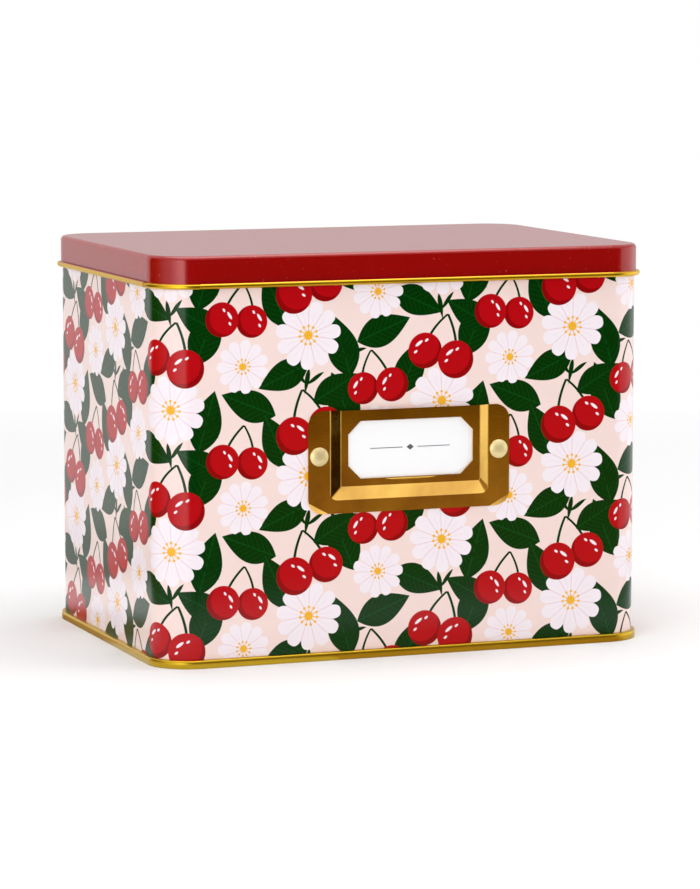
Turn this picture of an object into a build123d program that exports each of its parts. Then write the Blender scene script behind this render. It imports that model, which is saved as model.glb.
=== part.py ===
"""Hinged tin box for index cards: printed tinplate wall, double-seamed base, hinged lid with a rolled
edge, and a brass label holder with a slide-in card.

Frame: +Z up, the label holder faces -Y, the origin is the middle of the footprint on the table.
Sizes are in millimetres. A section is drawn in (u, z): u is the distance outwards from the wall's
outside face, and the section is carried once round the rounded rectangle of the box.
"""

import os
from math import cos, hypot, radians, sin, sqrt

from build123d import *

# ---- driving sizes: box -------------------------------------------------------------------------
body_width = 170.3  # outside of the printed wall, left to right
body_depth = 120.7  # outside of the printed wall, front to back
corner_radius = 12.7  # outside of the printed wall
overall_height = 133.5
sheet = 0.3  # tinplate
plate_join = 4.0  # the flat plates of the base and the lid meet their rims this far inside the wall

# ---- driving sizes: wall ------------------------------------------------------------------------
neck_step = 0.6  # the wall steps in under the lid by this much
neck_rise = 0.8  # height over which it steps in
neck_start = 0.2  # the step starts this far above the underside of the lid's rolled edge
hem_height = 3.0  # the top edge is folded inwards and down
lock_seam_width = 4.5  # the folded joint down the middle of the back
lock_seam_groove = 0.35  # the outside line where the two edges of the sheet meet

# ---- driving sizes: base seam -------------------------------------------------------------------
seam_height = 2.8
seam_gap = 0.1  # between the folded layers
hook_clearance = 0.3  # from the end of each hook to the fold it points into
rim_round = 0.35
base_bead_inset = 7.0  # from the wall to the stiffening bead in the base
base_bead_width = 3.2
base_bead_height = 0.6

# ---- driving sizes: lid -------------------------------------------------------------------------
lid_gap = 0.3  # the inside of the skirt stands this far outside the printed wall's face
lid_seat_gap = 0.35  # between the lid's underside and the folded top edge
lid_edge_radius = 1.4  # outside, where the top turns into the skirt
lid_height = 10.5  # from the underside of the rolled edge to the top
curl_end_angle = 120.0  # the roll ends here, short of the skirt
corner_curl_size = 1.55  # round the corners the roll is pressed down to this height and width
corner_curl_round = 0.5

# ---- driving sizes: hinge -----------------------------------------------------------------------
wire_radius = 0.55
wire_fit = 0.05  # radial, wire in the rolled edge and in the strap's loop
wire_length = 44.0
hinge_inset = 39.0  # from the wall's side to the middle of the strap
strap_width = 11.0
strap_side_gap = 1.0  # from the strap to the cut ends of the rolled edge
strap_drop = 15.0  # from the hinge line to the strap's lower end
strap_corner = 3.0
loop_end_angle = -115.0  # the loop ends here, short of the strap's own tail
notch_above_axis = 1.7  # the skirt is cut away to this height over the hinge line
hinge_rivet_pitch = 5.5
hinge_rivet_drop = 4.8  # from the hinge line to the upper rivet
hinge_rivet_head = 3.4  # diameter
hinge_rivet_rise = 0.6
hinge_rivet_shank = 1.8  # diameter

# ---- driving sizes: label holder ----------------------------------------------------------------
holder_width = 70.8
holder_height = 33.8
holder_bottom = 48.3  # height of its lower edge above the table
holder_corner = 5.0
holder_sheet = 0.5
holder_edge = 0.15  # the pressed edges are broken by this radius
holder_bend = 0.4  # radius where the pressing turns
pocket_depth = 1.1  # between the wall and the back of the raised panel
flange_width = 7.6  # flat at each side of the raised panel
panel_side_slope = 3.4
panel_bottom_slope = 4.6
panel_floor = 9.0  # from the holder's lower edge to the flat of the panel
panel_foot_corner = 2.4  # radius where the slopes meet the flange
panel_flat_corner = 0.8  # radius where the slopes meet the flat
window_side_margin = 2.45  # flat of the panel beside the window
window_top_margin = 3.6
window_bottom_margin = 2.3
window_chamfer = 4.3
bent_corner_width = 7.0  # the holder's lower corners are dressed back over this width
bent_corner_height = 3.8
bent_corner_angle = 10.0
label_rivet_rise = 2.0  # above the middle of the holder
label_rivet_head = 6.2  # diameter
label_rivet_dome = 1.25
label_rivet_rim = 0.3  # straight edge of the head
label_rivet_rings = (1, 0.8, 0.5, 0.2)  # the dome's turned steps, as shares of the head's radius
label_rivet_shank = 2.6  # diameter

# ---- driving sizes: label card ------------------------------------------------------------------
card_side_gap = 0.6  # to each side of the raised panel's flat
card_thickness = 0.5
card_clearance = 0.3  # under the card, to the pocket's floor
card_front_gap = 0.2  # from the card to the back of the raised panel
card_top_drop = 1.2  # the card's top edge lies this far below the holder's

# ---- shared fits --------------------------------------------------------------------------------
rivet_fit = 0.05  # radial, shank in its holes
rivet_tail_height = 0.7  # of the clinched end inside the wall
rivet_tail_spread = 1.0  # added to the shank's diameter
cut_reach = 1.0  # a cutter runs this far past the sheet that it cuts

# ---- worked out from the above ------------------------------------------------------------------
half_width = body_width / 2
half_depth = body_depth / 2
curl_bottom = overall_height - lid_height
layer = sheet + seam_gap
curl_radius = wire_radius + wire_fit + sheet
skirt_inside_u = lid_gap
skirt_outside_u = lid_gap + sheet
axis_u = skirt_inside_u + curl_radius  # the hinge line runs in the middle of the rolled edge
axis_z = curl_bottom + curl_radius
axis_y = half_depth + axis_u
wall_top = overall_height - sheet - lid_seat_gap
neck_bottom = curl_bottom + neck_start
loop_bore = wire_radius + wire_fit
strap_sheet = axis_u - loop_bore  # the strap lies on the wall and runs straight into its loop
strap_x = half_width - hinge_inset
holder_top = holder_bottom + holder_height
panel_width = holder_width - 2 * (flange_width + panel_side_slope)
label_rivet_x = holder_width / 2 - flange_width / 2
label_rivet_z = holder_bottom + holder_height / 2 + label_rivet_rise
card_bottom = holder_bottom + panel_floor + card_clearance
card_height = holder_top - card_top_drop - card_bottom
card_width = panel_width - 2 * card_side_gap


def folded_sheet(points, thickness):
    """Section of a sheet folded along the given middle line, with mitred folds, as a face in XZ."""
    def normal(a, b):
        length = hypot(b[0] - a[0], b[1] - a[1])
        return (-(b[1] - a[1]) / length, (b[0] - a[0]) / length)

    normals = [normal(a, b) for a, b in zip(points, points[1:])]
    left, right = [], []
    for i, (u, z) in enumerate(points):
        before = normals[max(i - 1, 0)]
        after = normals[min(i, len(normals) - 1)]
        mitre = (before[0] + after[0], before[1] + after[1])
        reach = thickness / (mitre[0] ** 2 + mitre[1] ** 2)
        left.append((u + mitre[0] * reach, 0, z + mitre[1] * reach))
        right.append((u - mitre[0] * reach, 0, z - mitre[1] * reach))
    return make_face(Polyline(left + right[::-1], close=True))


def rounded(section, corners, radius):
    """The section with the folds nearest the given (u, z) corners rounded."""
    chosen = [min(section.vertices(), key=lambda v: hypot(v.X - u, v.Z - z)) for u, z in corners]
    return fillet(chosen, radius)


def ring_sector(bore, outside, centre, start, end):
    """A curled sheet's section: a ring from one angle to the other, anticlockwise, in XZ."""
    def at(radius, angle):
        return (centre[0] + radius * cos(radians(angle)), 0, centre[1] + radius * sin(radians(angle)))

    middle = (start + end) / 2
    edges = [
        ThreePointArc(at(outside, start), at(outside, middle), at(outside, end)),
        Line(at(outside, end), at(bore, end)),
        ThreePointArc(at(bore, end), at(bore, middle), at(bore, start)),
        Line(at(bore, start), at(outside, start)),
    ]
    return make_face(edges)


def carry_round(section, corner_section=None):
    """Carries a (u, z) section round the box: straight along the sides, turned about each corner."""
    side_x = body_width - 2 * corner_radius
    side_y = body_depth - 2 * corner_radius
    pieces = []
    for turn, run, across in ((0, side_y, half_width), (90, side_x, half_depth),
                              (180, side_y, half_width), (270, side_x, half_depth)):
        along = Pos(across, -run / 2, 0) * section
        pieces.append(Rot(0, 0, turn) * extrude(along, amount=run, dir=(0, 1, 0)))
        corner = revolve(Pos(corner_radius, 0, 0) * (corner_section or section), Axis.Z, 90)
        pieces.append(Rot(0, 0, turn) * (Pos(across - corner_radius, run / 2, 0) * corner))
    return Part() + pieces


def plate(inset, bottom, thickness):
    """A flat sheet with the box's outline drawn in by inset."""
    outline = RectangleRounded(body_width - 2 * inset, body_depth - 2 * inset, corner_radius - inset)
    return extrude(Pos(0, 0, bottom) * outline, amount=thickness)


def rod(diameter, start, end):
    """A round bar between two points."""
    direction = Vector(*end) - Vector(*start)
    return extrude(Plane(origin=start, z_dir=direction) * Circle(diameter / 2), amount=direction.length)


def rivet_hole(shank, x, y, z):
    """The cutter for a rivet's hole along Y, through the sheet that lies at y."""
    return rod(shank + 2 * rivet_fit, (x, y - cut_reach, z), (x, y + cut_reach, z))


def rivet(head_profile, shank, grip):
    """A rivet along -Z: the head's (radius, z) profile above Z 0, shank through the grip, flattened end."""
    tail = (shank + rivet_tail_spread) / 2
    outline = [(0, -grip - rivet_tail_height), (tail, -grip - rivet_tail_height), (tail, -grip),
               (shank / 2, -grip), (shank / 2, 0)]
    points = [(radius, 0, z) for radius, z in outline + head_profile]
    return revolve(make_face(Polyline(points, close=True)), Axis.Z, 360)


# ---- wall ---------------------------------------------------------------------------------------
def make_body_wall():
    """One strip of tinplate: hooked into the base seam, stepped in under the lid, hemmed at the top
    and locked to itself down the back."""
    middle = -sheet / 2
    hook_u = seam_gap + layer + sheet / 2
    fold_z = layer + sheet / 2
    neck_u = middle - neck_step
    hem_u = neck_u - layer
    section = folded_sheet([
        (hook_u, seam_height - sheet - hook_clearance),
        (hook_u, fold_z),
        (middle, fold_z),
        (middle, neck_bottom),
        (neck_u, neck_bottom + neck_rise),
        (neck_u, wall_top - sheet / 2),
        (hem_u, wall_top - sheet / 2),
        (hem_u, wall_top - hem_height),
    ], sheet)
    wall = carry_round(section)

    # lock seam: a flat fold of two more layers inside, and the line of the joint outside
    seam_bottom = seam_height + layer
    seam_top = neck_bottom - neck_rise
    fold = Box(lock_seam_width, 2 * sheet, seam_top - seam_bottom,
               align=(Align.CENTER, Align.MAX, Align.MIN))
    wall += Pos(0, half_depth - sheet, seam_bottom) * fold
    groove = Box(lock_seam_groove, sheet, seam_top - seam_bottom, align=(Align.MIN, Align.CENTER, Align.MIN))
    wall -= Pos(lock_seam_width / 2, half_depth, seam_bottom) * groove

    # rivet holes for the label holder and the hinge straps
    for x in (-label_rivet_x, label_rivet_x):
        wall -= rivet_hole(label_rivet_shank, x, -half_depth, label_rivet_z)
    for x, z in hinge_rivet_places(-strap_x) + hinge_rivet_places(strap_x):
        wall -= rivet_hole(hinge_rivet_shank, x, half_depth, z)
    return wall


# ---- base ---------------------------------------------------------------------------------------
def make_base_pan():
    """The base plate, raised inside the rim, with its edge rolled round the wall's hook."""
    chuck_u = -sheet - seam_gap - sheet / 2
    outer_u = seam_gap + 2 * layer + sheet / 2
    hook_u = seam_gap + sheet / 2
    floor_z = seam_height - sheet / 2
    under_z = sheet / 2
    section = folded_sheet([
        (-plate_join, floor_z),
        (chuck_u, floor_z),
        (chuck_u, under_z),
        (outer_u, under_z),
        (outer_u, floor_z),
        (hook_u, floor_z),
        (hook_u, 2 * layer + hook_clearance),
    ], sheet)
    outside = outer_u + sheet / 2
    section = rounded(section, [(outside, seam_height)], rim_round)
    base = carry_round(section) + plate(plate_join, seam_height - sheet, sheet)

    # a raised stiffening bead pressed into the base, kept at the sheet's thickness
    def bead(inset, width, height):
        return plate(inset, seam_height - sheet, height) - plate(inset + width, seam_height - sheet, height)

    base += bead(base_bead_inset, base_bead_width, sheet + base_bead_height)
    return base - bead(base_bead_inset + sheet, base_bead_width - 2 * sheet, base_bead_height)


# ---- lid ----------------------------------------------------------------------------------------
def make_lid_pan():
    """The drawn lid, its lower edge rolled outwards, cut away where the hinge straps pass."""
    under_z = overall_height - sheet
    turn_u = skirt_outside_u - lid_edge_radius
    turn_z = overall_height - lid_edge_radius
    turn_middle = lid_edge_radius * sin(radians(45))
    pan = make_face([
        Polyline([(-plate_join, 0, overall_height), (-plate_join, 0, under_z), (turn_u, 0, under_z),
                  (skirt_inside_u, 0, turn_z), (skirt_inside_u, 0, axis_z), (skirt_outside_u, 0, axis_z),
                  (skirt_outside_u, 0, turn_z)]),
        ThreePointArc((skirt_outside_u, 0, turn_z), (turn_u + turn_middle, 0, turn_z + turn_middle),
                      (turn_u, 0, overall_height)),
        Line((turn_u, 0, overall_height), (-plate_join, 0, overall_height)),
    ])
    lid = carry_round(pan) + plate(plate_join, under_z, sheet)

    # the rolled edge is open along the sides and pressed flat round the corners
    curl = ring_sector(loop_bore, curl_radius, (axis_u, axis_z), 180, 360 + curl_end_angle)
    low, high = curl_bottom, curl_bottom + corner_curl_size
    near, far = skirt_inside_u, skirt_inside_u + corner_curl_size
    bevel = corner_curl_round
    pressed = make_face(Polyline([(near, 0, low), (far - bevel, 0, low), (far, 0, low + bevel), (far, 0, high),
                                  (near, 0, high)], close=True))
    pressed = rounded(pressed, [(far, high)], corner_curl_round)
    lid += carry_round(curl, pressed)

    notch = Box(strap_width + 2 * strap_side_gap, 2 * (curl_radius + sheet),
                curl_radius + sheet + notch_above_axis, align=(Align.CENTER, Align.CENTER, Align.MAX))
    for x in (-strap_x, strap_x):
        lid -= Pos(x, axis_y, axis_z + notch_above_axis) * notch
    return lid


# ---- hinge --------------------------------------------------------------------------------------
def hinge_rivet_places(x):
    """(x, z) of the two rivets that hold the strap at x."""
    top = axis_z - hinge_rivet_drop
    return [(x, top), (x, top - hinge_rivet_pitch)]


def make_hinge_wire(x):
    """The wire rolled into the lid's edge, bare across the notch."""
    return rod(2 * wire_radius, (x - wire_length / 2, axis_y, axis_z), (x + wire_length / 2, axis_y, axis_z))


def make_hinge_strap(x):
    """A strap riveted to the back wall and rolled round the wire."""
    loop = ring_sector(loop_bore, axis_u, (axis_u, axis_z), loop_end_angle, 180)
    loop = extrude(loop, amount=strap_width / 2, both=True)
    tail = Box(strap_sheet, strap_width, strap_drop, align=(Align.MIN, Align.CENTER, Align.MAX))
    lower = tail.edges().filter_by(Axis.X).group_by(Axis.Z)[0]
    tail = Pos(0, 0, axis_z) * fillet(lower, strap_corner)
    strap = Pos(x, half_depth, 0) * (Rot(0, 0, 90) * (loop + tail))
    for place_x, z in hinge_rivet_places(x):
        strap -= rivet_hole(hinge_rivet_shank, place_x, half_depth, z)
    return strap


def make_hinge_rivets():
    """Four flat-headed rivets through the straps and the back wall."""
    head = hinge_rivet_head / 2
    profile = [(head, 0), (head - hinge_rivet_rise / 2, hinge_rivet_rise), (0, hinge_rivet_rise)]
    one = Rot(-90, 0, 0) * rivet(profile, hinge_rivet_shank, strap_sheet + sheet)
    seat = half_depth + strap_sheet
    return Compound(children=[Pos(x, seat, z) * one for side in (-strap_x, strap_x)
                              for x, z in hinge_rivet_places(side)])


# ---- label holder -------------------------------------------------------------------------------
def holder_plane(out):
    """A sketch plane facing out of the front wall, at a distance out from it."""
    return Plane(origin=(0, -half_depth - out, holder_bottom), x_dir=(1, 0, 0), z_dir=(0, -1, 0))


def inner_edges(shape, y):
    """The holder's edges in the plane of the given y, without those of its outline and its top."""
    margin = holder_edge
    return [e for e in shape.edges().filter_by_position(Axis.Y, y - margin, y + margin)
            if abs(e.center().X) < holder_width / 2 - holder_corner
            and holder_bottom + margin < e.center().Z < holder_top - margin]


def pocket_form(out, grow):
    """The raised panel as a solid: a flat in front, sloped down to the wall at the sides and the floor,
    and open at the top. grow widens it and out is how far it stands from the wall."""
    top = holder_height + cut_reach

    def outline(half, floor, corner):
        shape = make_face(Polyline([(-half, floor), (half, floor), (half, top), (-half, top)], close=True))
        return fillet(shape.vertices().group_by(Axis.Y)[0], corner)

    foot = outline(panel_width / 2 + panel_side_slope + grow, panel_floor - panel_bottom_slope - grow,
                   panel_foot_corner + grow)
    flat = outline(panel_width / 2 + grow, panel_floor - grow, panel_flat_corner + grow)
    return loft([holder_plane(0) * foot, holder_plane(out) * flat])


def make_label_holder():
    """Pressed brass: a flat flange, a raised panel open at the top, and an eight-sided window."""
    flange = extrude(holder_plane(0) * (Pos(0, holder_height / 2) * RectangleRounded(
        holder_width, holder_height, holder_corner)), amount=holder_sheet)
    envelope = extrude(holder_plane(0) * (Pos(0, holder_height / 2) * Rectangle(
        holder_width, holder_height)), amount=pocket_depth + holder_sheet)
    slope = hypot(panel_side_slope, pocket_depth)
    grow = holder_sheet * (slope - panel_side_slope) / pocket_depth  # keeps the slopes at full thickness
    holder = flange + (Pos(0, -holder_sheet, 0) * pocket_form(pocket_depth, grow) & envelope)

    # the pressing turns softly from the flange into the slopes and from the slopes into the flat
    flange_y = -half_depth - holder_sheet
    flat_y = flange_y - pocket_depth
    holder = fillet(inner_edges(holder, flange_y), holder_bend)
    holder = fillet(inner_edges(holder, flat_y), holder_bend)
    holder -= pocket_form(pocket_depth, 0)

    half, cut = panel_width / 2 - window_side_margin, window_chamfer
    sill = panel_floor + window_bottom_margin
    tall = holder_height - window_top_margin - sill
    window = make_face(Polyline([
        (-half + cut, 0), (half - cut, 0), (half, cut), (half, tall - cut),
        (half - cut, tall), (-half + cut, tall), (-half, tall - cut), (-half, cut)], close=True))
    holder -= extrude(holder_plane(0) * (Pos(0, sill) * window), amount=pocket_depth + 2 * holder_sheet)
    for x in (-label_rivet_x, label_rivet_x):
        holder -= rivet_hole(label_rivet_shank, x, -half_depth, label_rivet_z)

    # the lower corners are dressed back towards the wall
    for side in (-1, 1):
        across = Vector(-side * bent_corner_height, 0, bent_corner_width).normalized()
        start = Vector(side * holder_width / 2, flange_y, holder_bottom + bent_corner_height)
        facing = Vector(0, -cos(radians(bent_corner_angle)), 0) - across * sin(radians(bent_corner_angle))
        along = Vector(side * bent_corner_width, 0, bent_corner_height)
        facet = Plane(origin=start, x_dir=along, z_dir=facing)
        holder -= extrude(facet * Rectangle(holder_width, holder_height), amount=holder_sheet)
    return holder


def make_label_rivet(x):
    """A domed rivet through the holder's flange and the front wall, the dome turned in three steps."""
    head = label_rivet_head / 2
    crown = label_rivet_dome - label_rivet_rim
    crown_radius = (head ** 2 + crown ** 2) / (2 * crown)
    rings = [head * share for share in label_rivet_rings]
    dome = [(r, label_rivet_dome - crown_radius + sqrt(crown_radius ** 2 - r ** 2)) for r in rings]
    one = rivet([(head, 0)] + dome + [(0, dome[-1][1])], label_rivet_shank, holder_sheet + sheet)
    return Pos(x, -half_depth - holder_sheet, label_rivet_z) * (Rot(90, 0, 0) * one)


def make_label_card():
    """The card in the holder, pushed in from above."""
    out = pocket_depth - card_thickness - card_front_gap
    shape = Pos(0, card_bottom - holder_bottom + card_height / 2) * Rectangle(card_width, card_height)
    return extrude(holder_plane(out) * shape, amount=card_thickness)


def main():
    os.makedirs("parts", exist_ok=True)
    nodes = {
        "body_wall": make_body_wall(),
        "base_pan": make_base_pan(),
        "lid_pan": make_lid_pan(),
        "hinge_wire_left": make_hinge_wire(-strap_x),
        "hinge_wire_right": make_hinge_wire(strap_x),
        "hinge_strap_left": make_hinge_strap(-strap_x),
        "hinge_strap_right": make_hinge_strap(strap_x),
        "hinge_rivets": make_hinge_rivets(),
        "label_holder": make_label_holder(),
        "label_rivet_left": make_label_rivet(-label_rivet_x),
        "label_rivet_right": make_label_rivet(label_rivet_x),
        "label_card": make_label_card(),
    }
    for name, shape in nodes.items():
        export_step(shape, f"parts/{name}.step")


main()
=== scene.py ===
"""Index card tin: its printed wall, lacquers and brass, and the studio that it stands in.

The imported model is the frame, in metres: +Z up, the label holder faces -Y, the origin is on the table
under the middle of the box. In the materials, lengths are in millimetres.
"""
from math import cos, pi, radians, sin, sqrt

import bmesh
import bpy
from bpy.props import FloatProperty, FloatVectorProperty, IntProperty, PointerProperty
from bpy.types import Operator, Panel, PropertyGroup
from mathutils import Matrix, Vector


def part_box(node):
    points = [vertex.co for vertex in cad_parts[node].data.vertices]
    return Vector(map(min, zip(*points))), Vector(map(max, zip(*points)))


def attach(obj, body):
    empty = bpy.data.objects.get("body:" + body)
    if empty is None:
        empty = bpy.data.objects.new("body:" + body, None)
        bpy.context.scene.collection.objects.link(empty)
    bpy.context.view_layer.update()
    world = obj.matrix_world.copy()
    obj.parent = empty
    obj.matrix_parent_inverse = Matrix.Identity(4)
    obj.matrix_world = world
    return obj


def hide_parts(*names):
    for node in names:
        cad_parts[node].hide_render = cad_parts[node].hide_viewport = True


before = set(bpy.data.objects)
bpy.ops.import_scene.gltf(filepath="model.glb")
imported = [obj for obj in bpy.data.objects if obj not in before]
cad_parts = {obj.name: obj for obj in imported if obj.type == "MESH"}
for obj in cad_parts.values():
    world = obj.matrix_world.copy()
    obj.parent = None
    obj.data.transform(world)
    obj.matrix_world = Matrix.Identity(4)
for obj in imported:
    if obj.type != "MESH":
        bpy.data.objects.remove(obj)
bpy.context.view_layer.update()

bl_info = {
    "name": "Index card tin",
    "version": (1, 0, 0),
    "blender": (4, 5, 0),
    "location": "3D View > Sidebar > Card tin",
    "description": "Dresses a hinged card tin: printed wall, lacquered lid, gold seams, brass label holder",
    "category": "Object",
}

MM = 0.001

# ---- sizes, in millimetres, and counts ----------------------------------------------------------
ROLLED_EDGE_PROUD = 2.1  # the lid's rolled edge stands this far outside the printed wall
WALL_CORNER = 12.7
SKIRT_OUTSIDE = 0.6  # the lid's skirt outside the printed wall
LID_EDGE_RADIUS = 1.4
HALF_SHEET = 0.15
COAT_EDGE = 0.08  # width over which the coat on one face gives way to that on the other
ROLL_HEIGHT = 1.6  # the rolled edge, from its underside to the crease under the skirt
FILM_START = 0.02  # the printed varnish begins this far off the sheet
FILM_END = 0.06
WINDOW_SILL = 59.6
HOLDER_RAISED = 1.1  # the holder's panel stands this far in front of its flanges
PANEL_FLAT = 24.4  # from the middle to the bends of its sides
PANEL_FOOT = 27.8
FOOT_UNDER_SILL = 5.6  # the bends of its sides end so far below the window
FLAT_UNDER_SILL = 2.4
BEND_WORN = 0.2  # half the width of the worn line on a bend
SWELL_HALF_WIDTH = 9.5  # of the swelling under the window
SWELL_HALF_HEIGHT = 0.9
RIVET_RIM = 0.3
RIVET_SHANK = 2.6  # diameter
RIVET_TAIL = 3.6  # diameter
RIVET_GRIP = 0.8  # holder and wall
RIVET_SIDES = 40
RIVET_RINGS = 10
CORNER_STEPS = 24  # of the printed varnish, round each corner of the wall
SEAM_LINE = (2.25, 2.6)  # the line of the lock seam at the back, right of the middle

lid_low, lid_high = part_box("lid_pan")
holder_low, holder_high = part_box("label_holder")
card_low, card_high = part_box("label_card")
WALL_HALF_WIDTH = lid_high[0] / MM - ROLLED_EDGE_PROUD
WALL_HALF_DEPTH = -holder_high[1] / MM
STRAIGHT_X = WALL_HALF_WIDTH - WALL_CORNER
STRAIGHT_Y = WALL_HALF_DEPTH - WALL_CORNER
QUARTER = STRAIGHT_X + STRAIGHT_Y + WALL_CORNER * pi / 2
ROLL_BOTTOM = lid_low[2] / MM
LID_TOP = lid_high[2] / MM
SEAM_TOP = 2.8  # of the base
PRINT_TOP = ROLL_BOTTOM + 0.2  # where the neck begins


def colour(red, green, blue):
    """An sRGB colour of 0 to 255 as the linear colour that the shaders take."""
    def linear(value):
        share = value / 255
        return share / 12.92 if share <= 0.04045 else ((share + 0.055) / 1.055) ** 2.4

    return tuple(linear(value) for value in (red, green, blue))


# ---- settings -----------------------------------------------------------------------------------
def swatch(name, description, default):
    """A colour property."""
    return FloatVectorProperty(name=name, description=description, subtype="COLOR", size=3,
                               min=0.0, max=1.0, default=default)


class TinPrint(PropertyGroup):
    """The pattern round the wall."""

    repeats: IntProperty(name="Repeats", description="Pattern repeats round the box, an even number",
                         default=12, min=2, step=2)
    repeat_height: FloatProperty(name="Repeat height", description="Height of one repeat",
                                 default=0.046, unit="LENGTH")
    ground: swatch("Ground", "Pale ground of the print", colour(242, 217, 211))
    leaf: swatch("Leaf", "Leaves and stems", colour(0, 50, 4))
    rib: swatch("Rib", "Fine lines in the leaves", colour(8, 84, 26))
    fruit: swatch("Fruit", "Round fruit", colour(181, 2, 14))
    shade: swatch("Shade", "Shaded side of the fruit", colour(142, 0, 5))
    petal: swatch("Petal", "Petals", colour(243, 233, 239))
    vein: swatch("Vein", "Lines on the petals", colour(232, 196, 208))
    pollen: swatch("Pollen", "Middle of a flower", colour(240, 178, 44))


class TinFinish(PropertyGroup):
    """Lacquers and metals."""

    red: swatch("Lid red", "Lacquer of the lid", colour(156, 0, 1))
    gold: swatch("Gold lacquer", "Seam, rolled edge and the inside", (0.76, 0.47, 0.025))
    brass: swatch("Brass", "Label holder", (0.95, 0.57, 0.12))
    rivet: swatch("Rivet brass", "Rivets of the label holder", (0.97, 0.82, 0.42))
    steel: swatch("Steel", "Hinge wires and rivets", (0.62, 0.60, 0.57))
    card: swatch("Card", "Label card", colour(250, 250, 252))
    ink: swatch("Ink", "Ruled lines of the label card", colour(52, 40, 44))
    varnish: FloatProperty(name="Varnish roughness", description="Of the print and the lid",
                           default=0.17, min=0.0, max=1.0, subtype="FACTOR")


class TinStage(PropertyGroup):
    """Camera, floor and light."""

    eye: FloatVectorProperty(name="Camera", description="Where the camera stands", subtype="TRANSLATION",
                             size=3, default=(-0.4665, -1.2402, 0.2237))
    aim: FloatVectorProperty(name="Aim", description="What the camera looks at", subtype="TRANSLATION",
                             size=3, default=(0.00207, 0.0, 0.06293))
    lens: FloatProperty(name="Lens", description="Focal length in millimetres", default=157.8)
    room: FloatProperty(name="Room light", description="Light from all round", default=0.37)
    top: FloatProperty(name="Top light", description="Softbox overhead", default=9.0, unit="POWER")
    left: FloatProperty(name="Left light", description="Softbox at the left in front", default=3.4, unit="POWER")
    fill: FloatProperty(name="Fill light", description="Soft light at the left", default=1.4, unit="POWER")
    right: FloatProperty(name="Right light", description="Softbox at the right", default=5.5, unit="POWER")


# ---- shader building ----------------------------------------------------------------------------
class Wire:
    """An output in a node tree. Arithmetic on it adds Math nodes."""

    def __init__(self, finish, socket):
        self.finish = finish
        self.socket = socket

    def output(self, name):
        """Another output of the same node."""
        return Wire(self.finish, self.socket.node.outputs[name])

    def do(self, operation, *others, clamp=False):
        """A Math node on this value and the others."""
        settings = {"operation": operation, "use_clamp": clamp}
        return self.finish.node("ShaderNodeMath", settings, dict(enumerate((self, *others))))

    def __add__(self, other):
        return self.do("ADD", other)

    __radd__ = __add__

    def __sub__(self, other):
        return self.do("SUBTRACT", other)

    def __rsub__(self, other):
        return self.do("MULTIPLY_ADD", -1.0, other)

    def __mul__(self, other):
        return self.do("MULTIPLY", other)

    __rmul__ = __mul__

    def __truediv__(self, other):
        return self.do("DIVIDE", other)

    def __neg__(self):
        return self.do("MULTIPLY", -1.0)

    def __abs__(self):
        return self.do("ABSOLUTE")

    def __pow__(self, power):
        return self.do("POWER", power)

    def __gt__(self, other):
        return self.do("GREATER_THAN", other)

    def wrapped(self, width):
        """The value brought into one repeat of that width, centred on zero."""
        return self.do("WRAP", width / 2, -width / 2)

    def filled(self, softness):
        """1 where the value, a distance from an edge, is inside (negative), and 0 outside."""
        return self.do("MULTIPLY_ADD", -1 / softness, 0.5, clamp=True)


class Finish:
    """A material made of nodes, on a Principled BSDF, or the nodes of a tree that is there already."""

    def __init__(self, name, tree=None):
        if tree is None:
            self.material = bpy.data.materials.new(name)
            self.material.use_nodes = True
            tree = self.material.node_tree
            self.shader = tree.nodes["Principled BSDF"]
        self.tree = tree

    def node(self, kind, settings=None, sockets=None, out=0):
        """Adds a node: its settings first, then the value or link of each named or numbered socket."""
        made = self.tree.nodes.new(kind)
        for name, value in (settings or {}).items():
            if name == "stops":
                self.set_stops(made.color_ramp, value)
            else:
                setattr(made, name, value)
        for key, value in (sockets or {}).items():
            self.feed(made.inputs[key], value)
        return Wire(self, made.outputs[out])

    @staticmethod
    def set_stops(ramp, stops):
        """Gives a colour ramp its (place, grey) stops."""
        while len(ramp.elements) < len(stops):
            ramp.elements.new(1.0)
        for element, (place, grey) in zip(ramp.elements, stops):
            element.position = place
            element.color = (grey, grey, grey, 1.0)

    def feed(self, socket, value):
        """Links a wire to a socket, or sets the socket's own value."""
        if isinstance(value, Wire):
            self.tree.links.new(value.socket, socket)
        elif socket.type == "RGBA":
            socket.default_value = (*value, 1.0)
        else:
            socket.default_value = value

    def mix(self, factor, first, second):
        """A blend of two colours."""
        return self.node("ShaderNodeMix", {"data_type": "RGBA"}, {0: factor, 6: first, 7: second}, out=2)

    def surface(self, **sockets):
        """Feeds the Principled BSDF's sockets, named with underscores for spaces."""
        for name, value in sockets.items():
            self.feed(self.shader.inputs[name.replace("_", " ")], value)

    def bump(self, height, distance, strength=1.0):
        """A normal from a height of 0 to 1 that stands for a distance in metres."""
        return self.node("ShaderNodeBump", None, {"Height": height, "Distance": distance, "Strength": strength})

    def place(self):
        """x, y and z in the frame, in millimetres."""
        spot = self.node("ShaderNodeTexCoord", None, None, out="Object")
        split = self.node("ShaderNodeSeparateXYZ", None, {0: spot})
        return [split.output(name) * (1 / MM) for name in "XYZ"]

    def noise(self, scale, detail=2.0, stretch=(1.0, 1.0, 1.0)):
        """Noise of 0 to 1 in the frame, with so many features to a metre."""
        spot = self.node("ShaderNodeTexCoord", None, None, out="Object")
        moved = self.node("ShaderNodeVectorMath", {"operation": "MULTIPLY"}, {0: spot, 1: stretch})
        return self.node("ShaderNodeTexNoise", None, {"Vector": moved, "Scale": scale, "Detail": detail})


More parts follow.
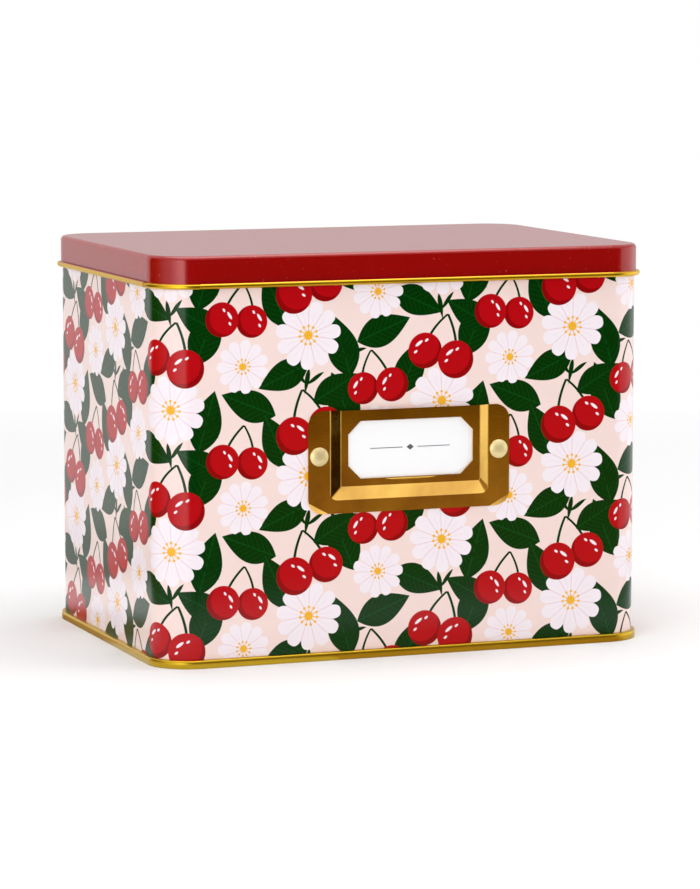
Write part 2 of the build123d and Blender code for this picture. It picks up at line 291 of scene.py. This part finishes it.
def round_the_wall(finish):
    """(distance along the wall from the middle of the front, distance out from its face, height)."""
    x, y, z = finish.place()
    straight_x = x.do("MAXIMUM", -STRAIGHT_X).do("MINIMUM", STRAIGHT_X)
    straight_y = y.do("MAXIMUM", -STRAIGHT_Y).do("MINIMUM", STRAIGHT_Y)
    over_x = abs(x - straight_x)
    over_y = abs(y - straight_y)
    out = (over_x * over_x + over_y * over_y).do("SQRT") - WALL_CORNER
    turned = over_x.do("ARCTAN2", over_y)
    from_front = abs(straight_x) + turned * WALL_CORNER + (STRAIGHT_Y - abs(straight_y))
    behind = y > 0.0
    along = from_front + behind * (2 * QUARTER - 2 * from_front)
    return along * x.do("SIGN"), out, z


# ---- the print ----------------------------------------------------------------------------------
INK_EDGE = 0.14  # width over which one ink gives way to the next


class Repeat:
    """The half-drop repeat: every second column is half a repeat higher, and mirrored."""

    def __init__(self, finish, settings):
        self.along, _, self.height = round_the_wall(finish)
        self.width = 4 * QUARTER / settings.repeats
        self.tall = settings.repeat_height / MM

    def motif(self, along, up, turn, size):
        """Coordinates about one motif, along its turned axes, in its own size."""
        shifted = self.along - along
        across = shifted.wrapped(self.width)
        column = (shifted - across) / self.width
        odd = column.do("ROUND").do("PINGPONG", 1.0)
        across = across * (1 - 2 * odd)
        upward = (self.height - up + odd * (self.tall / 2)).wrapped(self.tall)
        turned, straight = sin(radians(turn)) / size, cos(radians(turn)) / size
        return across * straight + upward * turned, upward * straight - across * turned


def paint_leaf(finish, ink, coat, forward, side):
    """A plain pointed leaf with a midrib and side ribs."""
    length, width, rib_gap = 21.0, 10.6, 2.1
    share = (forward * (2 / length)).do("MINIMUM", 1.5)
    half = (1 - share * share) * (1 - share * 0.3) * (width / 2)
    away = abs(side)
    blade = (away - half).filled(INK_EDGE)
    side_ribs = (abs((forward - away * 0.9).wrapped(rib_gap)) - 0.1).filled(INK_EDGE)
    midrib = (away - 0.2).filled(INK_EDGE)
    coat = finish.mix(blade, coat, ink.leaf)
    return finish.mix(blade * side_ribs.do("MAXIMUM", midrib) * 0.55, coat, ink.rib)


def paint_sprig(finish, ink, coat, forward, side):
    """A stem with a pair of narrow leaves and one at its end."""
    length, spread = 9.0, 3.0
    share = (forward * (2 / length)).do("MAXIMUM", -1.4)
    tip = abs(side) - (1 - share * share) * (share * 0.4 + 0.8)
    away = abs(side)
    reach = ((away - spread * 0.9) * (2 / (spread * 1.8))).do("MINIMUM", 1.4)
    pair = abs(forward - away * 0.9 + 1.0) - (1 - reach * reach) * 0.95
    return finish.mix(tip.do("MINIMUM", pair).filled(INK_EDGE), coat, ink.leaf)


def paint_daisy(finish, ink, coat, forward, side):
    """An open flower of narrow petals round a yellow middle."""
    petals, reach, middle = 11, 12.2, 2.6
    radius = (forward * forward + side * side).do("SQRT")
    turn = side.do("ARCTAN2", forward) * (petals / (2 * pi))
    off_petal = abs(turn.wrapped(1.0))
    edge = radius - (1 - (off_petal * 2) ** 3.0 * 0.26) * reach
    flower = edge.filled(INK_EDGE)
    arc = radius * (2 * pi / petals)
    parting = ((0.5 - off_petal) * arc - 0.13).filled(INK_EDGE)
    vein = (off_petal * arc - 0.08).filled(INK_EDGE) * (radius - reach * 0.7).filled(1.0)
    coat = finish.mix(flower, coat, ink.petal)
    coat = finish.mix(flower * parting.do("MAXIMUM", vein * 0.5), coat, ink.vein)
    heart = (radius - middle * 0.62).filled(INK_EDGE)
    dot_across = abs((turn + 0.5).wrapped(1.0)) * arc
    dot_along = abs(radius - middle * 1.25)
    dots = ((dot_across * dot_across + dot_along * dot_along).do("SQRT") - 0.5).filled(INK_EDGE)
    spokes = (dot_across - 0.16).filled(INK_EDGE) * (radius - middle * 1.25).filled(INK_EDGE)
    return finish.mix(heart.do("MAXIMUM", dots).do("MAXIMUM", spokes), coat, ink.pollen)


# Of a pair of fruit, each one's middle and radius. Of its glints, the middle from the fruit's own, and the
# half length and half width.
FRUITS = ((-5.7, -3.2, 6.0), (5.7, -5.0, 6.4))
GLINTS = ((-2.5, 2.1, 1.5, 0.5), (-3.3, -0.8, 0.7, 0.4), (0.1, 3.5, 0.7, 0.4))


def paint_cherries(finish, ink, coat, forward, side):
    """Two round fruits on stems that meet."""
    joint_x, joint_y = 0.8, 9.8
    for x, y, size in FRUITS:
        climb = (side - y) * (1 / (joint_y - y))
        stem = abs(forward - x - climb * climb * (joint_x - x)) - 0.5
        within = (side - joint_y).do("MAXIMUM", y - side)
        coat = finish.mix(stem.do("MAXIMUM", within).filled(INK_EDGE), coat, ink.leaf)
        across, up = forward - x, side - y
        radius = (across * across + up * up).do("SQRT")
        fruit = (radius - size).filled(INK_EDGE)
        lit = ((across + 1.3) ** 2.0 + (up - 1.3) ** 2.0).do("SQRT")
        coat = finish.mix(fruit, coat, ink.fruit)
        coat = finish.mix(fruit * (1 - (lit - size).filled(INK_EDGE)), coat, ink.shade)
        for glint_x, glint_y, long, wide in GLINTS:
            skew_x, skew_y = across - glint_x, up - glint_y
            run = (skew_x + skew_y) * sqrt(0.5)
            rise = (skew_y - skew_x) * sqrt(0.5)
            glint = (run * run * (1 / long ** 2) + rise * rise * (1 / wide ** 2) - 1).filled(0.5)
            coat = finish.mix(glint, coat, ink.petal)
    return coat


# From back to front: what, then distance along and up in one repeat in millimetres, turn in degrees, size.
MOTIFS = (
    (paint_leaf, (23.3, -12.0, 74, 1.0)),
    (paint_leaf, (-23.3, -7.0, 112, 1.0)),
    (paint_leaf, (-9.0, 16.0, 22, 0.95)),
    (paint_leaf, (3.0, -21.0, -24, 0.9)),
    (paint_leaf, (0.5, 3.5, 66, 0.95)),
    (paint_leaf, (21.0, 20.5, 150, 0.85)),
    (paint_sprig, (-21.5, 9.5, 60, 1.0)),
    (paint_sprig, (11.0, 23.0, 100, 1.0)),
    (paint_daisy, (11.5, -8.0, 10, 0.92)),
    (paint_daisy, (-11.0, -17.5, 0, 0.72)),
    (paint_cherries, (11.5, 11.0, -8, 0.98)),
    (paint_cherries, (-12.0, 1.0, 14, 0.88)),
)


def make_print(name):
    """Varnished print, in the repeat of MOTIFS."""
    finish = Finish(name)
    ink = bpy.context.scene.tin_print
    metal = bpy.context.scene.tin_finish
    repeat = Repeat(finish, ink)
    mottle = finish.noise(180, 3.0)
    coat = finish.mix(mottle * 0.5, ink.ground, colour(240, 220, 214))
    for paint, place in MOTIFS:
        coat = paint(finish, ink, coat, *repeat.motif(*place))
    grain = finish.noise(9000, 2.0, (1.0, 1.0, 0.12))
    finish.surface(Base_Color=coat, Metallic=0.0, IOR=1.34,
                   Roughness=grain * 0.08 + (metal.varnish - 0.04),
                   Normal=finish.bump(finish.noise(420, 2.0), 0.00002, 0.35))
    return finish.material


def make_gold(name, bulge):
    """Clear gold lacquer over bright tinplate, with the sheet's rolling grain. bulge, in metres, rounds
    the base seam's face."""
    finish = Finish(name)
    metal = bpy.context.scene.tin_finish
    _, out, height = round_the_wall(finish)
    share = (height - SEAM_TOP / 2) * (2 / (SEAM_TOP + 0.2))
    on_seam = (0.5 - out).filled(0.1)
    swell = (1 - share * share).do("MAXIMUM", 0.0).do("SQRT") * on_seam
    grain = finish.noise(5200, 3.0, (0.1, 0.1, 1.0))
    cloud = finish.noise(90, 3.0)
    tone = finish.mix(cloud, metal.gold, tuple(value * 0.84 for value in metal.gold))
    finish.surface(Base_Color=tone, Metallic=1.0, Roughness=grain * 0.12 + 0.24, Coat_Weight=0.1,
                   Coat_Roughness=0.2, Normal=finish.bump(swell + grain * 0.004, bulge))
    return finish.material


def make_wall_sheet(name):
    """The wall's own sheet: print ground outside, gold lacquer inside and on the neck."""
    finish = Finish(name)
    ink = bpy.context.scene.tin_print
    metal = bpy.context.scene.tin_finish
    _, out, height = round_the_wall(finish)
    outside = (-HALF_SHEET - out).filled(COAT_EDGE) * (height - PRINT_TOP).filled(COAT_EDGE)
    outside = outside * (SEAM_TOP - height).filled(COAT_EDGE)
    grain = finish.noise(4200, 3.0, (1.0, 1.0, 0.08))
    tone = finish.mix(outside, metal.gold, ink.ground)
    finish.surface(Base_Color=tone, Metallic=1 - outside, Roughness=grain * 0.12 + 0.24,
                   Normal=finish.bump(grain, 0.00001, 0.4))
    return finish.material


def make_lid(name):
    """Red lacquer outside, gold lacquer on the rolled edge and inside."""
    finish = Finish(name)
    metal = bpy.context.scene.tin_finish
    _, out, height = round_the_wall(finish)
    across = (out + (LID_EDGE_RADIUS - SKIRT_OUTSIDE)).do("MAXIMUM", 0.0)
    above = (height - (LID_TOP - LID_EDGE_RADIUS)).do("MAXIMUM", 0.0)
    shell = (across * across + above * above).do("SQRT") - (LID_EDGE_RADIUS - HALF_SHEET)
    edge = (ROLL_BOTTOM + ROLL_HEIGHT - height).filled(COAT_EDGE)
    red = (-shell).filled(COAT_EDGE) * edge
    grain = finish.noise(2600, 3.0, (1.0, 1.0, 0.07))
    cloud = finish.noise(60, 3.0)
    dust = finish.node("ShaderNodeValToRGB", {"stops": ((0.72, 0.0), (0.8, 1.0))}, {0: finish.noise(900, 1.0)})
    lacquer = finish.mix(cloud * 0.5, metal.red, tuple(value * 0.85 for value in metal.red))
    lacquer = finish.mix(dust * 0.12, lacquer, colour(230, 190, 190))
    tone = finish.mix(red, metal.gold, lacquer)
    finish.surface(Base_Color=tone, Metallic=1 - red * 0.9, IOR=1.6,
                   Roughness=red * (metal.varnish - 0.34) + grain * 0.12 + 0.28,
                   Normal=finish.bump(finish.noise(700, 2.0), 0.00002, 0.3))
    return finish.material


def make_polished(name, tone, smooth, wear, metallic=1.0, coat=0.25, sill=0.0):
    """Lacquered polished metal with wiping marks, finger haze and a painted reflection: darker blotches in its
    colour that stand in for dark surroundings mirrored in the slightly wavy sheet. smooth is its least
    roughness, and wear what the haze adds. sill is the height of the window's lower edge, where the sheet
    swells a little, and below which the lower slope's corners are worn."""
    finish = Finish(name)
    x, _, z = finish.place()
    wipe = finish.noise(1500, 4.0, (0.25, 1.0, 1.0))
    streak = finish.noise(420, 3.0, (1.0, 1.0, 0.12))
    haze = finish.node("ShaderNodeValToRGB", {"stops": ((0.45, 0.0), (0.75, 1.0))},
                       {0: finish.noise(130, 3.0)})
    # Painted reflection: darker, deeper-coloured blotches that stand in for dark surroundings mirrored in the
    # wavy sheet.
    painted_reflection_blotch = finish.node("ShaderNodeValToRGB", {"stops": ((0.4, 0.0), (0.7, 1.0))},
                          {0: finish.noise(55, 3.0)})
    surface_colour = finish.mix(haze * 0.25 + streak * 0.2, tone, tuple(value * 0.7 for value in tone))
    surface_colour = finish.mix(painted_reflection_blotch * 0.55, surface_colour, (tone[0] * 0.5, tone[1] * 0.34, tone[2] * 0.3))
    above = z - sill
    swell = 1 - (x * x * (1 / SWELL_HALF_WIDTH ** 2) + above * above * (1 / SWELL_HALF_HEIGHT ** 2))
    height = swell.do("MAXIMUM", 0.0) + wipe * 0.02
    side = abs(x)
    worn_foot = (abs(side - PANEL_FOOT) - BEND_WORN).filled(BEND_WORN) * (-above - FOOT_UNDER_SILL).filled(0.5)
    worn_flat = (abs(side - PANEL_FLAT) - BEND_WORN).filled(BEND_WORN) * (-above - FLAT_UNDER_SILL).filled(0.5)
    worn = worn_foot.do("MAXIMUM", worn_flat)
    finish.surface(Base_Color=surface_colour, Metallic=metallic, Coat_Weight=coat, Coat_Roughness=0.06,
                   Roughness=haze * wear + wipe * 0.05 + worn * 0.4 + smooth,
                   Normal=finish.bump(height, 0.00025))
    return finish.material


def make_steel(name):
    """Drawn steel with fine lines along X."""
    finish = Finish(name)
    metal = bpy.context.scene.tin_finish
    lines = finish.noise(7000, 3.0, (0.05, 1.0, 1.0))
    tone = finish.mix(lines, metal.steel, tuple(value * 0.7 for value in metal.steel))
    finish.surface(Base_Color=tone, Metallic=1.0, Roughness=lines * 0.2 + 0.25,
                   Normal=finish.bump(lines, 0.00001, 0.5))
    return finish.material


def make_card(name):
    """White card with a ruled line either side of a small lozenge."""
    finish = Finish(name)
    metal = bpy.context.scene.tin_finish
    x, _, z = finish.place()
    middle = (card_low[2] + card_high[2]) / 2 / MM
    up = z - middle
    away = abs(x)
    lozenge = (away + abs(up) * 1.3 - 1.3).filled(0.1)
    rule = (abs(up) - 0.14).filled(0.1) * (2.6 - away).filled(0.1) * (away - 14.0).filled(0.1)
    fibre = finish.noise(3800, 4.0)
    paper = finish.mix(fibre * 0.35, metal.card, colour(240, 239, 240))
    tone = finish.mix(lozenge.do("MAXIMUM", rule) * 0.92, paper, metal.ink)
    finish.surface(Base_Color=tone, Metallic=0.0, Roughness=fibre * 0.1 + 0.55,
                   Normal=finish.bump(fibre, 0.00002, 0.4))
    return finish.material


# ---- pieces -------------------------------------------------------------------------------------
def give(material, *nodes):
    """Sets the material of CAD nodes."""
    for node in nodes:
        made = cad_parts[node]
        made.data.materials.clear()
        made.data.materials.append(material)


def add_piece(name, mesh, body, material):
    """Links a mesh as a piece that rides on a body."""
    piece = bpy.data.objects.new(name, mesh)
    bpy.context.scene.collection.objects.link(piece)
    piece.data.materials.append(material)
    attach(piece, body)
    return piece


def wall_point(along, out):
    """The point so far along the wall from the middle of the front, and so far out from its face."""
    if along > 2 * QUARTER:
        along -= 4 * QUARTER
    side = -1 if along < 0 else 1
    run = abs(along)
    reach = WALL_CORNER + out
    arc = WALL_CORNER * pi / 2
    behind = run > QUARTER
    if behind:
        run = 2 * QUARTER - run
    if run <= STRAIGHT_X:
        x, y = run, -STRAIGHT_Y - reach
    elif run <= STRAIGHT_X + arc:
        turn = (run - STRAIGHT_X) / WALL_CORNER
        x, y = STRAIGHT_X + reach * sin(turn), -STRAIGHT_Y - reach * cos(turn)
    else:
        x, y = STRAIGHT_X + reach, -STRAIGHT_Y + run - STRAIGHT_X - arc
    return side * x * MM, (-y if behind else y) * MM


def film_stations(start, end):
    """Distances along the wall from start to end, close together round the corners."""
    bend = WALL_CORNER * pi / 2
    stops = {start, end}
    for turn in range(-2, 3):
        corner = turn * 2 * QUARTER + STRAIGHT_X
        for place in (corner, -corner - bend):
            stops.update(place + bend * step / CORNER_STEPS for step in range(CORNER_STEPS + 1))
    return sorted(stop for stop in stops if start <= stop <= end)


def make_film(name, start, end, material):
    """A closed skin of printed varnish on the wall's face, between two distances along the wall."""
    stations = film_stations(start, end)
    count = len(stations) - 1
    form = bmesh.new()
    layer = form.loops.layers.uv.new("OFBake")
    rings = []
    for along in stations:
        ring = []
        for out in (FILM_START, FILM_END):
            x, y = wall_point(along, out)
            ring.append([form.verts.new((x, y, z * MM)) for z in (SEAM_TOP, PRINT_TOP)])
        rings.append(ring)

    def face(corners, spots):
        made = form.faces.new(corners)
        made.smooth = True
        for loop, spot in zip(made.loops, spots):
            loop[layer].uv = spot

    for step in range(count):
        (inner, outer), (next_inner, next_outer) = rings[step], rings[step + 1]
        left, right = ((stations[i] - start) / (end - start) for i in (step, step + 1))
        face([outer[0], next_outer[0], next_outer[1], outer[1]], [(left, 0), (right, 0), (right, 1), (left, 1)])
        face([inner[1], next_inner[1], next_inner[0], inner[0]], [(left, 1), (right, 1), (right, 0), (left, 0)])
        for level, row in ((0, 0.001), (1, 0.999)):
            rim = [inner[level], next_inner[level], next_outer[level], outer[level]]
            spots = [(left, row), (right, row), (right, level), (left, level)]
            face(rim if level == 0 else rim[::-1], spots if level == 0 else spots[::-1])
    for ring, row, column in ((rings[0], 0.0, 0.001), (rings[-1], 1.0, 0.999)):
        end_face = [ring[0][0], ring[1][0], ring[1][1], ring[0][1]]
        spots = [(column, 0), (row, 0), (row, 1), (column, 1)]
        face(end_face if row == 0.0 else end_face[::-1], spots if row == 0.0 else spots[::-1])
    mesh = bpy.data.meshes.new(name)
    form.to_mesh(mesh)
    form.free()
    mesh.set_sharp_from_angle(angle=radians(40))
    return add_piece(name, mesh, "box", material)


class TIN_OT_printed_wall(Operator):
    """Prints the wall: the sheet itself and the varnished print on its face"""

    bl_idname = "tin.printed_wall"
    bl_label = "Printed wall"

    def execute(self, context):
        give(make_wall_sheet("wall_sheet"), "body_wall")
        material = make_print("cherry_print")
        quarter_corner = WALL_CORNER * pi / 4
        front = STRAIGHT_X + quarter_corner
        side = 2 * QUARTER - front
        make_film("print_front", -front, front, material)
        make_film("print_right", front, side, material)
        make_film("print_left", -side, -front, material)
        make_film("print_back_right", side, 2 * QUARTER - SEAM_LINE[1], material)
        make_film("print_back_left", 2 * QUARTER - SEAM_LINE[0], 4 * QUARTER - side, material)
        return {"FINISHED"}


class TIN_OT_base(Operator):
    """Gives the base and its seam their gold lacquer"""

    bl_idname = "tin.base"
    bl_label = "Base"

    def execute(self, context):
        give(make_gold("gold_lacquer", 0.0008), "base_pan")
        return {"FINISHED"}


class TIN_OT_lid(Operator):
    """Lacquers the lid"""

    bl_idname = "tin.lid"
    bl_label = "Lid"

    def execute(self, context):
        give(make_lid("red_lacquer"), "lid_pan")
        return {"FINISHED"}


class TIN_OT_hinges(Operator):
    """Finishes the hinge straps, wires and rivets"""

    bl_idname = "tin.hinges"
    bl_label = "Hinges"

    def execute(self, context):
        give(make_gold("strap_lacquer", 0.0001), "hinge_strap_left", "hinge_strap_right")
        give(make_steel("hinge_steel"), "hinge_wire_left", "hinge_wire_right", "hinge_rivets")
        return {"FINISHED"}


class TIN_OT_label_holder(Operator):
    """Polishes the brass label holder"""

    bl_idname = "tin.label_holder"
    bl_label = "Label holder"

    def execute(self, context):
        metal = context.scene.tin_finish
        give(make_polished("polished_brass", metal.brass, 0.05, 0.1, sill=WINDOW_SILL), "label_holder")
        return {"FINISHED"}


def make_dome(name, node, material):
    """A rivet turned smoothly inside the bounds of its CAD node, which it replaces."""
    low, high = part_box(node)
    middle_x, middle_z = (low[0] + high[0]) / 2, (low[2] + high[2]) / 2
    seat = holder_low[1] + HOLDER_RAISED * MM
    head, crown = (high[0] - low[0]) / 2, seat - low[1] - RIVET_RIM * MM
    ball = (head * head + crown * crown) / (2 * crown)
    shank, tail, grip = RIVET_SHANK / 2 * MM, RIVET_TAIL / 2 * MM, RIVET_GRIP * MM
    profile = [(0.0, high[1]), (tail, high[1]), (tail, seat + grip), (shank, seat + grip), (shank, seat),
               (head, seat), (head, seat - RIVET_RIM * MM)]
    for step in range(1, RIVET_RINGS):
        radius = head * cos(pi / 2 * step / RIVET_RINGS)
        profile.append((radius, low[1] + ball - sqrt(ball * ball - radius * radius)))
    profile.append((0.0, low[1]))
    form = bmesh.new()
    turns = [2 * pi * i / RIVET_SIDES for i in range(RIVET_SIDES)]
    rings = []
    for radius, y in profile:
        if radius == 0.0:
            rings.append([form.verts.new((middle_x, y, middle_z))] * RIVET_SIDES)
        else:
            rings.append([form.verts.new((middle_x + radius * cos(turn), y, middle_z + radius * sin(turn)))
                          for turn in turns])
    for ring, after in zip(rings, rings[1:]):
        for i in range(RIVET_SIDES):
            j = (i + 1) % RIVET_SIDES
            corners = [ring[i], ring[j], after[j], after[i]]
            form.faces.new(list(dict.fromkeys(corners))).smooth = True
    bmesh.ops.recalc_face_normals(form, faces=form.faces)
    mesh = bpy.data.meshes.new(name)
    form.to_mesh(mesh)
    form.free()
    mesh.set_sharp_from_angle(angle=radians(40))
    piece = add_piece(name, mesh, "box", material)
    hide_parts(node)


class TIN_OT_label_rivets(Operator):
    """Turns the two domed rivets of the label holder"""

    bl_idname = "tin.label_rivets"
    bl_label = "Label rivets"

    def execute(self, context):
        metal = context.scene.tin_finish
        material = make_polished("rivet_brass", metal.rivet, 0.4, 0.1, metallic=0.6, coat=0.5)
        make_dome("rivet_dome_left", "label_rivet_left", material)
        make_dome("rivet_dome_right", "label_rivet_right", material)
        return {"FINISHED"}


class TIN_OT_label_card(Operator):
    """Rules the label card"""

    bl_idname = "tin.label_card"
    bl_label = "Label card"

    def execute(self, context):
        give(make_card("white_card"), "label_card")
        return {"FINISHED"}


# ---- stage --------------------------------------------------------------------------------------
# What shows in reflections, round from the back past the left, the front and the right to the back:
# degrees from the front, and brightness.
SURROUNDINGS = ((-180, 0.95), (-142, 0.95), (-133, 0.05), (-110, 0.16), (-60, 1.1), (-34, 2.7), (-25, 2.7),
                (-21, 0.03), (48, 0.03), (56, 1.15), (75, 1.3), (105, 1.5), (130, 0.7), (166, 0.68), (180, 0.95))
# The floor as reflected close to the box, and further ahead of it: metres from its front, and brightness.
# In reflections the floor glows with these as painted light and shade: a painted shadow right at the box,
# a painted lit band just beyond it, and painted light that dims further ahead.
FLOOR_NEAR = ((0.0, 0.5), (0.02, 0.5), (0.05, 0.38), (0.07, 1.2), (0.112, 1.2), (0.14, 0.0))
FLOOR_AHEAD = ((0.1, 0.38), (0.5, 0.27), (1.0, 0.02))
FLOOR_SHOWN = 1.2  # metres
FLOOR_REACH = 3.0  # metres
FLOOR_SIDES = 64
FLOOR_FADE = 450.0  # millimetres from the middle, where the floor is half gone into the background
FLOOR_FADE_WIDTH = 500.0
LAMPS_FROM = 330.0  # the floor shows the lamps from so many millimetres out
LAMPS_SOFT = 60.0
# How far up a direction points, where 1 is straight up: the lamps end at the first and the light overhead
# starts at the second.
LAMPS_UP_TO = 0.25
OVERHEAD_FROM = 0.42
WHITE = (1.0, 1.0, 1.0)


def surroundings(finish, x, y, lamp_reach):
    """Brightness of the studio in the direction of x and y. Where lamp_reach is 0, its lamps aren't seen."""
    turn = x.do("ARCTAN2", -y) * (1 / (2 * pi)) + 0.5
    stops = tuple((degrees / 360 + 0.5, level) for degrees, level in SURROUNDINGS)
    return finish.node("ShaderNodeValToRGB", {"stops": stops}, {0: turn}).do("MINIMUM", lamp_reach * 2.0 + 0.7)


def tinted(finish, level):
    """A brightness as a colour: warm where it is dim, neutral where it is bright."""
    share = (level * level * 2.2).do("MINIMUM", 1.0)
    tint = finish.mix(share, (1.0, 0.55, 0.0), WHITE)
    return finish.node("ShaderNodeVectorMath", {"operation": "SCALE"}, {0: tint, "Scale": level})


def make_world(strength):
    """White to the camera, a studio of softboxes in reflections, even light for the rest."""
    world = bpy.data.worlds.new("studio")
    bpy.context.scene.world = world
    world.use_nodes = True
    finish = Finish("studio", world.node_tree)
    ray = finish.node("ShaderNodeLightPath")
    spot = finish.node("ShaderNodeTexCoord", None, None, out="Generated")
    split = finish.node("ShaderNodeSeparateXYZ", None, {0: spot})
    x, y, z = (split.output(name) for name in "XYZ")
    above = (OVERHEAD_FROM - z).filled(0.3)
    lamp_reach = (z - LAMPS_UP_TO).filled(0.1)
    studio = surroundings(finish, x, y, lamp_reach).do("MAXIMUM", above)
    seen = ray.output("Is Camera Ray").do("MAXIMUM", ray.output("Is Transmission Ray"))
    glossy = ray.output("Is Glossy Ray")
    level = finish.mix(glossy, (strength, strength, strength), tinted(finish, studio))
    level = finish.mix(seen, level, WHITE)
    background = world.node_tree.nodes["Background"]
    finish.feed(background.inputs["Color"], level)


def make_floor():
    """A pale floor that keeps the shadow and fades into the background. In reflections it glows instead,
    with painted light and shade.
    """
    form = bmesh.new()
    turns = [2 * pi * i / FLOOR_SIDES for i in range(FLOOR_SIDES)]
    rim = [form.verts.new((FLOOR_REACH * cos(turn), FLOOR_REACH * sin(turn), 0)) for turn in turns]
    form.faces.new(rim)
    mesh = bpy.data.meshes.new("floor")
    form.to_mesh(mesh)
    form.free()
    floor = bpy.data.objects.new("floor", mesh)
    bpy.context.scene.collection.objects.link(floor)
    finish = Finish("pale_floor")
    x, y, _ = finish.place()
    away = (x * x + y * y).do("SQRT")
    near, ahead = (
        finish.node("ShaderNodeValToRGB", {"stops": tuple((far / FLOOR_SHOWN, level) for far, level in stops)},
                    {0: (away - WALL_HALF_DEPTH) * (MM / FLOOR_SHOWN)})
        for stops in (FLOOR_NEAR, FLOOR_AHEAD))
    rightwards = (-x - y * 0.1).filled(120.0)
    lamp_reach = (LAMPS_FROM - away).filled(LAMPS_SOFT)
    # Painted light and shade: the floor's brightness as it shows in reflections.
    mirrored = surroundings(finish, x, y, lamp_reach).do("MAXIMUM", near).do("MAXIMUM", ahead * rightwards)
    ray = finish.node("ShaderNodeLightPath")
    fade = (FLOOR_FADE - away).filled(FLOOR_FADE_WIDTH)
    finish.surface(Base_Color=(0.89, 0.89, 0.89), Roughness=0.9)
    body = Wire(finish, finish.shader.outputs[0])
    white = finish.node("ShaderNodeEmission", None, {"Color": WHITE})
    glow = finish.node("ShaderNodeEmission", None, {"Color": tinted(finish, mirrored)})
    shown = finish.node("ShaderNodeMixShader", None, {0: ray.output("Is Camera Ray") * fade, 1: body, 2: white})
    shown = finish.node("ShaderNodeMixShader", None, {0: ray.output("Is Glossy Ray"), 1: shown, 2: glow})
    output = next(node for node in finish.tree.nodes if node.type == "OUTPUT_MATERIAL")
    finish.feed(output.inputs["Surface"], shown)
    floor.data.materials.append(finish.material)


def add_softbox(name, turn, distance, height, size, power, mirrored=False):
    """An upright area light, turn degrees round from the front, or overhead where the distance is 0. Only
    one that is mirrored shows in reflections."""
    lamp = bpy.data.lights.new(name, "AREA")
    lamp.shape = "RECTANGLE"
    lamp.size, lamp.size_y = size
    lamp.energy = power
    made = bpy.data.objects.new(name, lamp)
    made.location = (distance * sin(radians(turn)), -distance * cos(radians(turn)), height)
    if distance:
        made.rotation_euler = (pi / 2, 0, radians(turn))
    made.visible_camera = False
    made.visible_glossy = mirrored
    bpy.context.scene.collection.objects.link(made)


class TIN_OT_stage(Operator):
    """Sets up the camera, the floor and the light"""

    bl_idname = "tin.stage"
    bl_label = "Studio"

    def execute(self, context):
        stage = context.scene.tin_stage
        context.scene.view_settings.view_transform = "Standard"
        make_world(stage.room)
        make_floor()
        add_softbox("overhead", 0, 0, 1.1, (1.0, 1.0), stage.top, mirrored=True)
        add_softbox("front_left", -39, 0.9, 0.41, (0.58, 0.8), stage.left)
        add_softbox("left_fill", -98, 1.0, 0.45, (0.8, 0.8), stage.fill)
        add_softbox("right", 80, 1.0, 0.46, (0.9, 0.9), stage.right)
        camera = bpy.data.cameras.new("camera")
        camera.lens = stage.lens
        camera.sensor_width = 36.0
        made = bpy.data.objects.new("camera", camera)
        made.location = stage.eye
        made.rotation_euler = (Vector(stage.aim) - Vector(stage.eye)).to_track_quat("-Z", "Y").to_euler()
        context.scene.collection.objects.link(made)
        context.scene.camera = made
        return {"FINISHED"}


class TIN_PT_panel(Panel):
    """Lists the tin's operators"""

    bl_label = "Card tin"
    bl_idname = "TIN_PT_panel"
    bl_space_type = "VIEW_3D"
    bl_region_type = "UI"
    bl_category = "Card tin"

    def draw(self, context):
        for made in operators:
            self.layout.operator(made.bl_idname)
        for group in (context.scene.tin_print, context.scene.tin_finish, context.scene.tin_stage):
            box = self.layout.box()
            for name in group.__annotations__:
                box.prop(group, name)


groups = {"tin_print": TinPrint, "tin_finish": TinFinish, "tin_stage": TinStage}
operators = (TIN_OT_stage, TIN_OT_printed_wall, TIN_OT_base, TIN_OT_lid, TIN_OT_hinges, TIN_OT_label_holder,
             TIN_OT_label_rivets, TIN_OT_label_card)


def register():
    for made in (*groups.values(), *operators, TIN_PT_panel):
        bpy.utils.register_class(made)
    for name, group in groups.items():
        setattr(bpy.types.Scene, name, PointerProperty(type=group))


def unregister():
    for name in groups:
        delattr(bpy.types.Scene, name)
    for made in (TIN_PT_panel, *reversed(operators), *groups.values()):
        bpy.utils.unregister_class(made)


def main():
    register()
    bpy.ops.tin.stage()
    bpy.ops.tin.printed_wall()
    bpy.ops.tin.base()
    bpy.ops.tin.lid()
    bpy.ops.tin.hinges()
    bpy.ops.tin.label_holder()
    bpy.ops.tin.label_rivets()
    bpy.ops.tin.label_card()


if __name__ == "__main__":
    main()
